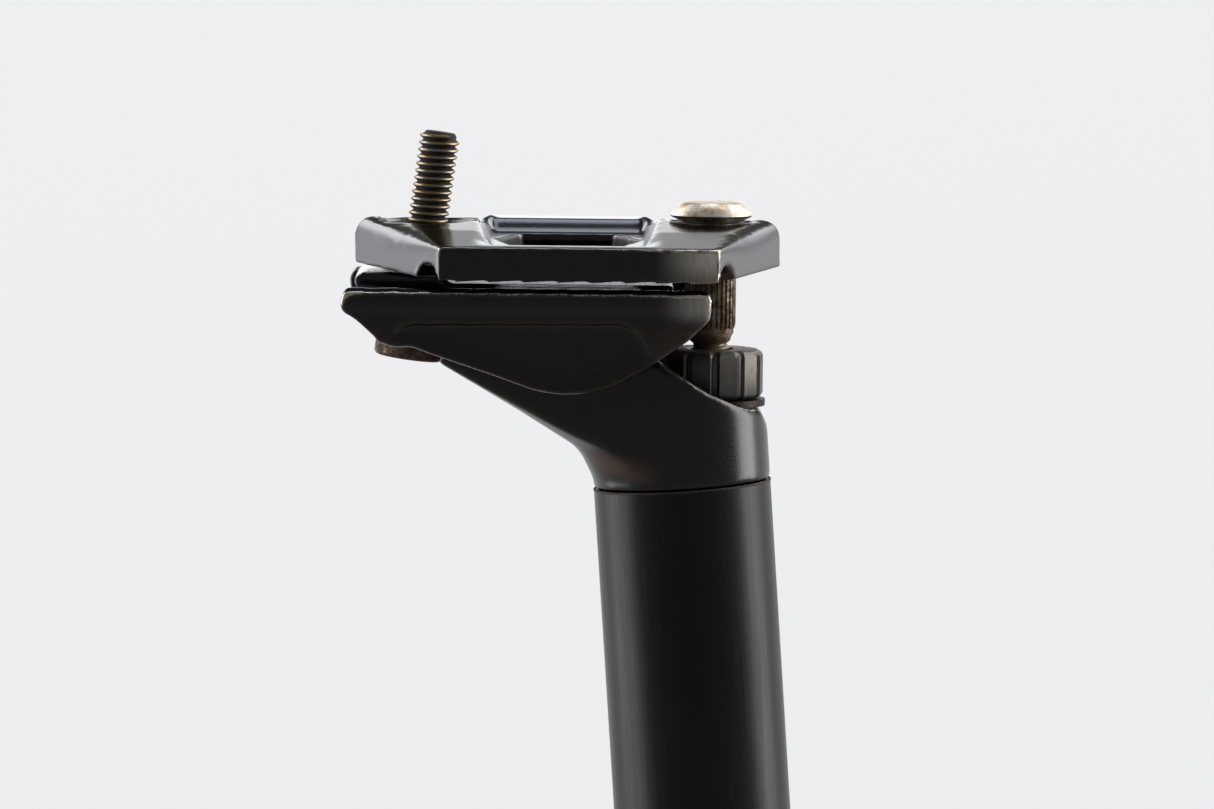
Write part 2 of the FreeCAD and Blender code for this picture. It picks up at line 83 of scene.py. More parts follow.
class ForgingSettings(bpy.types.PropertyGroup):
    """Sizes and colours of the forged black pieces."""

    grain: FloatProperty(name="Mesh grain", description="Length of one mesh cell", default=0.34 * MM,
                         unit="LENGTH")
    softening: IntProperty(name="Softening", description="Smoothing passes that round the edges", default=4)
    cradle_softening: IntProperty(name="Cradle softening", description="Smoothing passes on the cradle",
                                  default=7)
    panel_softening: IntProperty(name="Panel softening", description="Further passes on the cradle's panels",
                                 default=12)
    head_softening: IntProperty(name="Head softening", description="Smoothing passes on the arm", default=14)
    dent: FloatProperty(name="Dents", description="Depth of the dents along edges", default=0.09 * MM,
                        unit="LENGTH")
    black: StringProperty(name="Black", description="Anodised colour", default="#060606")
    bare: StringProperty(name="Bare metal", description="Worn edge colour", default="#a8a296")


class BoltSettings(bpy.types.PropertyGroup):
    """Sizes and colours of the clamp's bolts."""

    crest: FloatProperty(name="Thread crest", description="Crest radius of the thread", default=2.84 * MM,
                         unit="LENGTH")
    root: FloatProperty(name="Thread root", description="Root radius of the thread", default=2.32 * MM,
                        unit="LENGTH")
    pitch: FloatProperty(name="Pitch", description="Thread pitch", default=1.0 * MM, unit="LENGTH")
    flutes: IntProperty(name="Flutes", description="Flutes round the splined neck", default=30)
    nut_sides: IntProperty(name="Nut sides", description="Flats round the thumb nut", default=12)
    nut_apothem: FloatProperty(name="Nut size", description="Axis to flat", default=7.45 * MM, unit="LENGTH")
    nut_foot: FloatProperty(name="Nut foot", description="Level of the nut's foot", default=-16.5 * MM,
                            unit="LENGTH")
    nut_height: FloatProperty(name="Nut height", description="Height of the nut", default=6.9 * MM,
                              unit="LENGTH")
    nut_turn: FloatProperty(name="Nut turn", description="Turn of the nut in degrees", default=5.0)
    nut_lift: FloatProperty(name="Nut lift", description="Rail level above the joint of the nut",
                            default=13 * MM, unit="LENGTH")
    screw_top: FloatProperty(name="Screw top", description="Top of the rear screw's thread above its seat",
                             default=28.3 * MM, unit="LENGTH")
    rust: StringProperty(name="Rust", description="Rust colour", default="#4a2f20")
    steel: StringProperty(name="Steel", description="Plated steel colour", default="#8e867a")


class PostSettings(bpy.types.PropertyGroup):
    """Sizes and colours of the shaft, collar and post."""

    ribs: IntProperty(name="Grip ribs", description="Ribs round the collar", default=60)
    rib_depth: FloatProperty(name="Rib depth", description="Depth of the collar's ribs", default=0.55 * MM,
                             unit="LENGTH")
    satin: StringProperty(name="Satin", description="Anodised tube colour", default="#141415")


class StageSettings(bpy.types.PropertyGroup):
    """Camera, lights and floor."""

    bearing: FloatProperty(name="Bearing", description="Camera's bearing about the post, in degrees",
                           default=0.0)
    height: FloatProperty(name="Height", description="Camera's angle above the level, in degrees",
                          default=5.0)
    roll: FloatProperty(name="Roll", description="Camera's roll, in degrees", default=-3.58)
    distance: FloatProperty(name="Distance", description="Camera's distance", default=1.0, unit="LENGTH")
    lens: FloatProperty(name="Lens", description="Focal length in millimetres", default=210.0)
    aim: FloatVectorProperty(name="Aim", description="Point looked at, from the seam's centre", size=3,
                             default=(-9.9 * MM, 0.0, 11.9 * MM), unit="LENGTH")
    dark_side: FloatProperty(name="Dark side", description="Brightness behind the camera", default=0.2)
    bright_side: FloatProperty(name="Bright side", description="Brightness behind the subject", default=1.8)
    floor_glow: FloatProperty(name="Floor glow", description="Brightness of the floor as it is seen",
                              default=0.9)
    floor_colour: StringProperty(name="Floor", description="Floor colour", default="#f4f4f6")


# ---------------------------------------------------------------- colour and node helpers


def linear(code):
    """An sRGB hex colour as linear RGBA."""
    channels = [int(code[start:start + 2], 16) / 255 for start in (1, 3, 5)]
    return [c / 12.92 if c <= 0.04045 else ((c + 0.055) / 1.055) ** 2.4 for c in channels] + [1.0]


def add_node(material, kind, sockets=None, **settings):
    """Add a node, set its attributes, and set or link its sockets by name or number."""
    node = material.node_tree.nodes.new(kind)
    for name, value in settings.items():
        setattr(node, name, value)
    for key, value in (sockets or {}).items():
        if isinstance(value, bpy.types.NodeSocket):
            material.node_tree.links.new(value, node.inputs[key])
        else:
            node.inputs[key].default_value = value
    return node


def new_material(name):
    """An empty node material with its shader and output."""
    material = bpy.data.materials.new(name)
    material.use_nodes = True
    material.node_tree.nodes.clear()
    shader = add_node(material, "ShaderNodeBsdfPrincipled")
    add_node(material, "ShaderNodeOutputMaterial", {"Surface": shader.outputs[0]})
    return material, shader


def feed(material, shader, **links):
    """Link or set the shader's sockets, with underscores for spaces in their names."""
    for name, value in links.items():
        socket = shader.inputs[name.replace("_", " ")]
        if isinstance(value, bpy.types.NodeSocket):
            material.node_tree.links.new(value, socket)
        else:
            socket.default_value = value


def place(material, centre=(0, 0, 0), turn=(0, 0, 0), scale=(1, 1, 1)):
    """Object coordinates, moved to a centre, turned and scaled."""
    coordinates = add_node(material, "ShaderNodeTexCoord")
    moved = add_node(material, "ShaderNodeVectorMath", {0: coordinates.outputs["Object"], 1: centre},
                     operation="SUBTRACT")
    settings = {"Vector": moved.outputs[0], "Rotation": turn, "Scale": scale}
    return add_node(material, "ShaderNodeMapping", settings).outputs[0]


def speckle(material, vector, grain_mm, detail=4.0, roughness=0.6):
    """Noise whose grain is given in millimetres."""
    settings = {"Vector": vector, "Scale": 1 / (grain_mm * MM), "Detail": detail, "Roughness": roughness}
    return add_node(material, "ShaderNodeTexNoise", settings).outputs["Fac"]


def span(material, value, low, high, to_low=0.0, to_high=1.0):
    """Map a value's range smoothly to another one."""
    settings = {"Value": value, "From Min": low, "From Max": high, "To Min": to_low, "To Max": to_high}
    return add_node(material, "ShaderNodeMapRange", settings, interpolation_type="SMOOTHSTEP").outputs[0]


def math_of(material, operation, first, second=0.0, clamp=False):
    """One arithmetic step."""
    return add_node(material, "ShaderNodeMath", {0: first, 1: second}, operation=operation,
                    use_clamp=clamp).outputs[0]


def blend_colours(material, share, first, second):
    """Mix two colours by a share."""
    colours = {"Factor": share, 6: first, 7: second}
    return add_node(material, "ShaderNodeMix", colours, data_type="RGBA").outputs[2]


def blend(material, share, first, second):
    """Mix two numbers by a share."""
    return add_node(material, "ShaderNodeMix", {"Factor": share, 2: first, 3: second}).outputs[0]


def stored(material, name):
    """A value that the piece's mesh holds at each vertex."""
    return add_node(material, "ShaderNodeAttribute", attribute_name=name).outputs["Fac"]


def bumped(material, height, depth_mm, strength=1.0):
    """A normal from a height field of a given depth."""
    settings = {"Height": height, "Distance": depth_mm * MM, "Strength": strength}
    return add_node(material, "ShaderNodeBump", settings).outputs[0]


# ---------------------------------------------------------------- materials


def make_worn_forging(name, black, bare, cast=0.0, gloss=(0.11, 0.17)):
    """Forged aluminium, hard anodised gloss black: deep black, with edges worn to bright metal.

    Brushed end faces are a satin grey, a rubbed face fades to bare metal, and a brown is laid on: dirt in
    the plate's rail grooves, and a painted brown reflection on the cradle's lower edges and along the arm's
    chine.
    """
    material, shader = new_material(name)
    here = place(material)
    patches = speckle(material, here, 3.2, 5.0)
    grit = speckle(material, here, 0.3, 3.0)
    drawn = speckle(material, place(material, scale=(1, 1, 0.06)), 0.22, 2.0)
    orange_peel = speckle(material, here, 0.9, 3.0)
    satin = stored(material, "satin")
    rub = math_of(material, "MULTIPLY", stored(material, "rub"), span(material, drawn, 0.3, 0.7, 0.8, 1.0),
                  clamp=True)
    # The brown share is dirt in the plate's rail grooves and a painted brown reflection on the cradle's
    # lower edges and the arm's chine; it also dulls the gloss.
    brown_dirt_and_reflection = math_of(material, "MULTIPLY", stored(material, "dirt_and_brown_reflection"),
                      span(material, patches, 0.25, 0.6, 0.45, 1.0))
    ragged = math_of(material, "ADD", math_of(material, "MULTIPLY", patches, 0.35),
                     math_of(material, "MULTIPLY", grit, 0.45))
    score = math_of(material, "ADD", stored(material, "edge_wear"),
                    math_of(material, "SUBTRACT", ragged, 0.4))
    bared = span(material, score, 0.5, 0.66)
    thinned = math_of(material, "MULTIPLY", span(material, score, 0.25, 0.6), 0.35)

    tone = blend_colours(material, span(material, patches, 0.35, 0.7), linear(black), linear("#0d0c0b"))
    for share, code in ((satin, "#76767a"), (rub, "#d6cfc3"), (brown_dirt_and_reflection, "#4a2f1a"), (thinned, "#5b5348")):
        tone = blend_colours(material, share, tone, linear(code))
    bright = blend_colours(material, span(material, grit, 0.3, 0.7), linear(bare), linear("#cfc8b8"))
    # Worn edges inside the brown share get a brown tint: dirt on the plate, a painted brown rim highlight on
    # the cradle.
    bright = blend_colours(material, math_of(material, "MULTIPLY", brown_dirt_and_reflection, 0.6), bright, linear("#8a6a42"))

    matt = math_of(material, "MAXIMUM", math_of(material, "MAXIMUM", satin, brown_dirt_and_reflection), rub)
    polish = blend(material, matt, span(material, grit, 0.3, 0.8, *gloss), 0.42)
    metal = math_of(material, "MAXIMUM", span(material, bared, 0, 1),
                    math_of(material, "MULTIPLY", satin, 0.8))
    metal = math_of(material, "MULTIPLY", metal, span(material, rub, 0, 1, 1.0, 0.3))
    height = math_of(material, "ADD", math_of(material, "MULTIPLY", orange_peel, 0.4 + cast),
                     math_of(material, "MULTIPLY", drawn, 0.35))
    feed(material, shader, Base_Color=blend_colours(material, bared, tone, bright), Metallic=metal,
         Roughness=blend(material, bared, polish, 0.34),
         Normal=bumped(material, height, 0.012 + 0.012 * cast))
    return material


def make_satin_tube(name, satin):
    """Drawn aluminium tube, satin black anodised: fine lines along the tube, slightly cloudy."""
    material, shader = new_material(name)
    lines = speckle(material, place(material, scale=(1, 1, 0.012)), 0.25, 3.0)
    clouds = speckle(material, place(material, scale=(1, 1, 0.25)), 9.0, 3.0)
    marks = speckle(material, place(material), 0.6, 2.0)
    tone = blend_colours(material, span(material, clouds, 0.3, 0.7), linear(satin), linear("#1b1b1c"))
    tone = blend_colours(material, span(material, marks, 0.78, 0.84, 0.0, 0.6), tone, linear("#8a867f"))
    rough = span(material, lines, 0.25, 0.75, 0.3, 0.42)
    feed(material, shader, Base_Color=tone, Roughness=rough, Metallic=0.55,
         Normal=bumped(material, lines, 0.006))
    return material


def make_rusty_steel(name, steel, rust, brassy="#a8875a", rusting=0.5, axis=None, dark="#2a1a12",
                     polish=0.3):
    """Plated steel, browned where the plating has gone: matt rust with brassy glints.

    With an axis (a centre and a turn), the roots of a thread round it are painted dark as shade and only its
    crests shine.
    """
    material, shader = new_material(name)
    here = place(material)
    patches = speckle(material, here, 1.8, 6.0, 0.7)
    grit = speckle(material, here, 0.22, 4.0, 0.7)
    mottle = math_of(material, "ADD", math_of(material, "MULTIPLY", patches, 0.7),
                     math_of(material, "MULTIPLY", grit, 0.3))
    share = span(material, mottle, 0.72 - 0.5 * rusting, 0.92 - 0.5 * rusting)
    if axis:
        centre, turn = axis
        across = add_node(material, "ShaderNodeVectorMath", {0: place(material, centre, turn), 1: (1, 1, 0)},
                          operation="MULTIPLY").outputs[0]
        radius = add_node(material, "ShaderNodeVectorMath", {0: across}, operation="LENGTH").outputs[1]
        # Painted shade: the thread's roots take the dark brown, and the crests keep the metal.
        share = math_of(material, "MAXIMUM", share, span(material, radius, *THREAD_SHADE, 1.0, 0.0))
    brown = blend_colours(material, span(material, grit, 0.35, 0.7), linear(rust), linear(dark))
    metal = blend_colours(material, span(material, patches, 0.4, 0.6), linear(steel), linear(brassy))
    feed(material, shader, Base_Color=blend_colours(material, share, metal, brown),
         Roughness=blend(material, share, polish, 0.75), Metallic=span(material, share, 0, 1, 1.0, 0.25),
         Normal=bumped(material, math_of(material, "ADD", grit, patches), 0.05, 0.6))
    return material


def make_machined_metal(name, colour, second, rough=(0.25, 0.4), grain_mm=0.5, depth_mm=0.01,
                        stretch=(1, 1, 1)):
    """Turned or drawn metal: fine tool lines and a light stain."""
    material, shader = new_material(name)
    lines = speckle(material, place(material, scale=stretch), grain_mm, 4.0)
    stain = speckle(material, place(material), 5.0, 4.0)
    tone = blend_colours(material, span(material, stain, 0.35, 0.65), linear(colour), linear(second))
    feed(material, shader, Base_Color=tone, Roughness=span(material, lines, 0.3, 0.7, *rough), Metallic=1.0,
         Normal=bumped(material, lines, depth_mm))
    return material


def make_moulded(name, colour, second, rough=(0.4, 0.6), grain_mm=0.6, depth_mm=0.02):
    """Moulded polymer or rubber: slightly uneven colour and a fine moulded grain."""
    material, shader = new_material(name)
    grain = speckle(material, place(material), grain_mm, 3.0)
    cloud = speckle(material, place(material), 6.0, 3.0)
    tone = blend_colours(material, span(material, cloud, 0.35, 0.65), linear(colour), linear(second))
    feed(material, shader, Base_Color=tone, Roughness=span(material, grain, 0.3, 0.7, *rough),
         Normal=bumped(material, grain, depth_mm))
    return material


# ---------------------------------------------------------------- mesh helpers


def axis_frame(joint_name, place_name=None):
    """A matrix whose Z is a joint's axis and Y the clamp's width, at that joint's place or another's."""
    up = Vector(JOINTS[joint_name]["axis"]).normalized()
    side = Vector((0, 1, 0))
    turn = Matrix((side.cross(up).normalized(), side, up)).transposed().to_4x4()
    return Matrix.Translation(Vector(JOINTS[place_name or joint_name]["pos_m"])) @ turn


def finish_piece(name, mesh, body, material, replaces=()):
    """Turn a bmesh into a finished piece that rides on a body."""
    bmesh.ops.recalc_face_normals(mesh, faces=mesh.faces)
    seat_piece(name, mesh, body, material, replaces)


def seat_piece(name, mesh, body, material, replaces=(), smooth_angle=40):
    """Put a finished bmesh in the scene as a piece of a body."""
    data = bpy.data.meshes.new(name)
    mesh.to_mesh(data)
    mesh.free()
    piece = bpy.data.objects.new(name, data)
    bpy.context.scene.collection.objects.link(piece)
    data.materials.append(material)
    data.shade_smooth()
    data.set_sharp_from_angle(angle=math.radians(smooth_angle))
    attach(piece, body)
    if replaces:
        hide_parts(*replaces)


def turned(points, steps=72):
    """A solid turned about Z from its outline, as (radius, level) points in millimetres."""
    mesh = bmesh.new()
    verts = [mesh.verts.new((radius * MM, 0, level * MM)) for radius, level in points]
    edges = [mesh.edges.new(pair) for pair in zip(verts, verts[1:])]
    bmesh.ops.spin(mesh, geom=verts + edges, cent=(0, 0, 0), axis=(0, 0, 1), angle=2 * math.pi,
                   steps=steps, use_merge=True)
    bmesh.ops.remove_doubles(mesh, verts=mesh.verts, dist=1e-7)
    loose = [v for v in mesh.verts if not v.link_faces]
    bmesh.ops.delete(mesh, geom=loose, context="VERTS")
    return mesh


def raise_wall(mesh, count, rings):
    """Extrude the mesh's ring of edges through (level, reach) rings.

    A reach is a function: it takes a vertex's number round the ring and gives its distance from the axis.
    """
    loop = list(mesh.edges)
    for level, reach in rings:
        grown = bmesh.ops.extrude_edge_only(mesh, edges=loop)["geom"]
        loop = [part for part in grown if isinstance(part, bmesh.types.BMEdge)]
        for vert in (part for part in grown if isinstance(part, bmesh.types.BMVert)):
            angle = math.atan2(vert.co.y, vert.co.x)
            distance = reach(round(angle / (2 * math.pi) * count) % count)
            vert.co = (distance * math.cos(angle), distance * math.sin(angle), level)


def join_meshes(parts):
    """One bmesh from several."""
    whole = bmesh.new()
    for part in parts:
        data = bpy.data.meshes.new("joined")
        part.to_mesh(data)
        part.free()
        whole.from_mesh(data)
        bpy.data.meshes.remove(data)
    return whole


def thread_ridge(crest, root, pitch, low, high, steps=36):
    """A thread's helical ridge as a closed solid along Z, from one level to another."""
    ridge = bmesh.new()
    inside = root - 0.08 * MM
    shoulder = crest - 0.05 * MM
    section = [(inside, -0.46), (shoulder, -0.13), (crest, -0.07), (crest, 0.07), (shoulder, 0.13),
               (inside, 0.46)]
    face = ridge.faces.new([ridge.verts.new((radius, 0, low + share * pitch)) for radius, share in section])
    count = int((high - low) / pitch * steps)
    bmesh.ops.spin(ridge, geom=[face], cent=(0, 0, 0), axis=(0, 0, 1), dvec=(0, 0, pitch / steps),
                   angle=2 * math.pi * count / steps, steps=count)
    return ridge


def soften(mesh, verts, passes):
    """Round a mesh off by moving each vertex towards its neighbours."""
    for _ in range(passes):
        bmesh.ops.smooth_vert(mesh, verts=verts, factor=0.5, use_axis_x=True, use_axis_y=True,
                              use_axis_z=True)


def dense_copy(node, grain, softening):
    """A node's mesh, merged, remeshed into even cells and softened."""
    base = bmesh.new()
    base.from_mesh(NODES[node].data)
    bmesh.ops.remove_doubles(base, verts=base.verts, dist=1e-6)
    data = bpy.data.meshes.new(node + "_copy")
    base.to_mesh(data)
    base.free()
    helper = bpy.data.objects.new(node + "_helper", data)
    bpy.context.scene.collection.objects.link(helper)
    remesh = helper.modifiers.new("Cells", "REMESH")
    remesh.mode = "VOXEL"
    remesh.voxel_size = grain
    remesh.adaptivity = 0
    depsgraph = bpy.context.evaluated_depsgraph_get()
    even = bpy.data.meshes.new_from_object(helper.evaluated_get(depsgraph))
    bpy.data.objects.remove(helper)
    dense = bmesh.new()
    dense.from_mesh(even)
    bpy.data.meshes.remove(even)
    soften(dense, dense.verts, softening)
    return dense


def edge_wear(mesh, reach=4, sharpest=0.985):
    """How far each vertex stands out on a convex edge, from 0 to about 1, spread over its neighbours."""
    mesh.verts.ensure_lookup_table()
    mesh.normal_update()
    wear = []
    for vert in mesh.verts:
        bend = sum(edge.calc_face_angle_signed(0.0) for edge in vert.link_edges)
        wear.append(max(-0.05, bend / max(1, len(vert.link_edges))))
    links = [[edge.other_vert(vert).index for edge in vert.link_edges] for vert in mesh.verts]
    for _ in range(reach):
        wear = [0.5 * own + 0.5 * sum(wear[i] for i in near) / max(1, len(near))
                for own, near in zip(wear, links)]
    most = sorted(wear)[int(sharpest * len(wear))]
    return [max(0.0, min(1.2, value / most)) for value in wear]


def ramp(value, low, high):
    """A smooth step from 0 to 1 between two values."""
    share = max(0.0, min(1.0, (value - low) / (high - low)))
    return share * share * (3 - 2 * share)


def plate_marks(spot, facing):
    """Shares of edge handling, rubbing, satin and brown dirt in the rail grooves at a place on the top
    plate.
    """
    outer = ramp(abs(spot.y), 21 * MM, 25 * MM)
    front = ramp(spot.x, 2 * MM, 19 * MM)
    upper = ramp(spot.z, 2 * MM, 4.5 * MM)
    side = ramp(abs(facing.y), 0.93, 0.99) * outer
    rub = side * ramp(spot.x, 11.5 * MM, 21 * MM) * (0.6 + 0.4 * upper)
    ends = ramp(abs(facing.x), 0.3, 0.5) * (1 - ramp(facing.z, 0.6, 0.85)) * ramp(spot.z, 0, 2 * MM)
    grooves = 1 - ramp(math.hypot(abs(spot.y) - RAIL_OFFSET, spot.z), 3.6 * MM, 4.6 * MM)
    return 0.08 + outer * (0.14 + 0.36 * upper + 0.5 * front), rub, ends, 0.5 * grooves * front


def cradle_marks(spot, facing):
    """Shares of edge handling, rubbing, satin and painted brown reflection at a place on the cradle."""
    outer = ramp(abs(spot.y), 24 * MM, 26 * MM)
    upper = ramp(spot.z, -2.4 * MM, -0.9 * MM)
    front = ramp(spot.x, 8 * MM, 19 * MM)
    rear = ramp(-spot.x, 27 * MM, 30.5 * MM)
    rub = 0.672 * outer * ramp(spot.x, 12 * MM, 20 * MM) * ramp(spot.z, -5 * MM, -2 * MM)
    low = ramp(-spot.z, 3.4 * MM, 6 * MM)
    # Painted brown reflection: on the cheek's lower front and on its downward-facing lower edges.
    dirt_and_brown_reflection = outer * max(0.75 * front * low, 0.5 * low * ramp(-facing.z, 0.15, 0.6))
    return 0.06 + outer * (0.1 + 0.5 * upper + 0.3 * front + 0.3 * rear), rub, 0.0, dirt_and_brown_reflection


def arm_marks(spot, facing):
    """Shares of edge handling, rubbing, satin and painted brown reflection at a place on the arm.

    A painted brown reflection lies along the arm's lower chine, whose slope changes at a bend.
    """
    bend_x, bend_z = 3.2 * MM, -25 * MM
    slope = 0.65 if spot.x < bend_x else 0.17
    chine = bend_z - (spot.x - bend_x) * slope
    near = 1 - ramp(abs(spot.z - chine), 0.3 * MM, 2.4 * MM)
    # Painted brown reflection along the chine, fading out at both ends of the arm.
    dirt_and_brown_reflection = near * ramp(spot.x, -14 * MM, -2 * MM) * (1 - ramp(spot.x, 9 * MM, 15 * MM))
    return 0.05, 0.0, 0.0, 0.85 * dirt_and_brown_reflection * ramp(abs(spot.y), 3 * MM, 8 * MM)


def plate_shape(spot):
    """Sink the middle of the top plate round its window and raise the rim behind it."""
    middle = 1 - ramp(abs(spot.x), 10.0 * MM, 13.4 * MM)
    lift = 1.9 * ramp(spot.y, 12.6 * MM, 16.6 * MM) - 0.65 - 0.35 * ramp(-spot.y, 0, 12 * MM)
    return MM * middle * lift * ramp(spot.z, 3.2 * MM, 5.2 * MM) * (1 - ramp(-spot.y, 18 * MM, 24 * MM))


def cradle_shape(spot):
    """Deepen the rear tips of the cradle's wings."""
    tip = ramp(spot.x, -34.5 * MM, -28.5 * MM) * ramp(-spot.x, 20.5 * MM, 27 * MM)
    return -2.2 * MM * tip * ramp(-spot.z, 3.4 * MM, 5.4 * MM) * ramp(abs(spot.y), 10 * MM, 13 * MM)


def soften_panels(mesh, middle, passes):
    """Soften the sunken panels of the cradle's wings once more."""
    inner, top = 19 * MM, -5.2 * MM
    to_clamp = middle.inverted()
    panels = [vert for vert in mesh.verts if abs(vert.co.y) > inner and (to_clamp @ vert.co).z < top]
    soften(mesh, panels, passes)


def wear_forging(mesh, dent, middle, shape, marks):
    """Shape the mesh, store its wear, rubbing, satin and brown share (dirt and painted brown reflection),
    and dent the edges that stand out.
    """
    wear = edge_wear(mesh)
    worn, rubbed, satin, dirt_and_brown_reflection = (
        mesh.verts.layers.float.new(name) for name in ("edge_wear", "rub", "satin", "dirt_and_brown_reflection"))
    to_clamp = middle.inverted()
    turn = to_clamp.to_3x3()
    up = middle.to_3x3() @ Vector((0, 0, 1))
    for vert, value in zip(mesh.verts, wear):
        spot = to_clamp @ vert.co
        handling, vert[rubbed], vert[satin], vert[dirt_and_brown_reflection] = marks(spot, turn @ vert.normal)
        share = value * handling
        vert[worn] = share
        if share > 0.3:
            bite = noise.noise(vert.co / (1.7 * MM)) + 0.6 * noise.noise(vert.co / (0.6 * MM))
            vert.co -= vert.normal * dent * share * max(0.0, bite + 0.1)
        if shape:
            vert.co += up * shape(spot)


# ---------------------------------------------------------------- pieces


class SEATPOST_OT_forgings(bpy.types.Operator):
    """Build the forged head, cradle and top plate with softened, worn edges"""

    bl_idname = "seatpost.forgings"
    bl_label = "Forgings"

    def execute(self, context):
        settings = context.scene.seatpost_forging
        colours = settings.black, settings.bare
        smooth = make_worn_forging("black_anodised_forging", *colours)
        rough = make_worn_forging("black_anodised_casting", *colours, cast=1.0)
        glossy = make_worn_forging("black_anodised_arm", *colours, gloss=(0.24, 0.3))
        middle = axis_frame("front_bolt_rise", "saddle_tilt")
        for name, node, body, material, passes, shape, marks in (
                ("top_plate", "upper_clamp", "clamp", smooth, settings.softening, plate_shape, plate_marks),
                ("rail_cradle", "lower_cradle", "clamp", rough, settings.cradle_softening, cradle_shape,
                 cradle_marks),
                ("setback_head", "head", "shaft", glossy, settings.head_softening, None, arm_marks)):
            mesh = dense_copy(node, settings.grain, passes)
            if node == "lower_cradle":
                soften_panels(mesh, middle, settings.panel_softening)
            wear_forging(mesh, settings.dent, middle, shape, marks)
            seat_piece(name, mesh, body, material, (node,), smooth_angle=70)
        return {"FINISHED"}


class SEATPOST_OT_rear_bolt(bpy.types.Operator):
    """Build the rear bolt with its thread and socket head"""

    bl_idname = "seatpost.rear_bolt"
    bl_label = "Rear bolt"

    def execute(self, context):
        settings = context.scene.seatpost_bolt
        own = axis_frame("rear_bolt_turn")
        root, top = settings.root / MM, settings.screw_top / MM
        core = turned([(0, -1.5), (2.9, -1.5), (root, 5), (root, top - 0.4), (root - 0.3, top), (0, top)],
                      steps=48)
        ridge = thread_ridge(settings.crest, settings.root, settings.pitch, 6 * MM, (top - 0.45) * MM)
        head = turned([(2.6, -1.9), (2.75, -3.8), (4.25, -3.9), (4.65, -3.75), (4.88, -3.35), (4.9, -1.15),
                       (4.85, -1), (0, -1)])
        socket_floor = turned([(0, -1.9), (2.62, -1.9)])
        shank = join_meshes([core, ridge])
        crown = join_meshes([head, socket_floor])
        for part in (shank, crown):
            bmesh.ops.transform(part, matrix=own, verts=part.verts)
        turn = own.to_3x3().inverted().to_euler()
        # The rear thread's roots are painted dark as shade; its near-black brown tones serve as that shade.
        root_shaded_thread_steel = make_rusty_steel("thread_steel_painted_root_shade", "#9c968a", "#262220", "#a88f62", rusting=0.34,
                                 axis=(own.translation, turn), dark="#171412")
        rusty = make_rusty_steel("rusty_head_steel", "#6e6258", "#4b3026", "#7a5236", rusting=0.7)
        finish_piece("rear_cap_screw", shank, "rear_bolt", root_shaded_thread_steel, ("rear_bolt",))
        finish_piece("rear_screw_head", crown, "rear_bolt", rusty)
        return {"FINISHED"}


class SEATPOST_OT_front_bolt(bpy.types.Operator):
    """Build the front bolt: domed head, splined neck and thread"""

    bl_idname = "seatpost.front_bolt"
    bl_label = "Front bolt"

    def execute(self, context):
        settings = context.scene.seatpost_bolt
        rail_level = axis_frame("thumb_nut_turn") @ Matrix.Translation((0, 0, settings.nut_lift))
        root, rim = settings.root / MM, 9.3
        dome = turned([(0, 5.6), (3.4, 5.6), (3.65, 8.1), (5.6, rim - 0.3), (5.93, rim), (5.75, rim + 0.3),
                       (4.4, rim + 1.45), (3.8, rim + 1.74), (3, rim + 1.8), (0, rim + 1.82)], 96)
        collar = turned([(0, -6.4), (3.3, -6.4), (3.35, -7.3), (3.05, -7.8), (2.9, -8.4), (root, -8.9),
                         (root, -24.4), (root - 0.5, -25), (0, -25)], 64)
        ridge = thread_ridge(settings.crest, settings.root, settings.pitch, -24.4 * MM, -9.2 * MM)
        shank = join_meshes([self.fluted_neck(settings.flutes), collar, ridge])
        for part in (dome, shank):
            bmesh.ops.transform(part, matrix=rail_level, verts=part.verts)
        pale = make_rusty_steel("rust_edged_steel", "#ebe6da", "#a5683a", "#cdb692", rusting=0.38,
                                polish=0.42)
        rusty = make_rusty_steel("rust_browned_steel", settings.steel, "#4f3524", rusting=0.66)
        finish_piece("front_bolt_dome", dome, "front_bolt", pale, ("front_bolt",))
        finish_piece("front_bolt_shank", shank, "front_bolt", rusty)
        return {"FINISHED"}

    def fluted_neck(self, flutes):
        """The neck under the head, with grooves along it, drawn in at its foot."""
        neck = bmesh.new()
        bmesh.ops.create_circle(neck, segments=flutes * 6, radius=3.62 * MM, cap_ends=True)
        neck.verts.ensure_lookup_table()
        for index, vert in enumerate(neck.verts):
            if index % 6 in (0, 1):
                vert.co *= 0.93
        bmesh.ops.translate(neck, verts=neck.verts, vec=(0, 0, 6.2 * MM))
        for level, scale in ((-5.9, 1.0), (-6.5, 0.97), (-7.1, 0.9)):
            bottom = min(neck.faces, key=lambda face: face.calc_center_median().z)
            grown = bmesh.ops.extrude_face_region(neck, geom=[bottom])
            verts = [part for part in grown["geom"] if isinstance(part, bmesh.types.BMVert)]
            bmesh.ops.translate(neck, verts=verts, vec=(0, 0, level * MM - verts[0].co.z))
            bmesh.ops.scale(neck, verts=verts, vec=(scale, scale, 1))
            if bottom.is_valid:
                bmesh.ops.delete(neck, geom=[bottom], context="FACES_ONLY")
        return neck


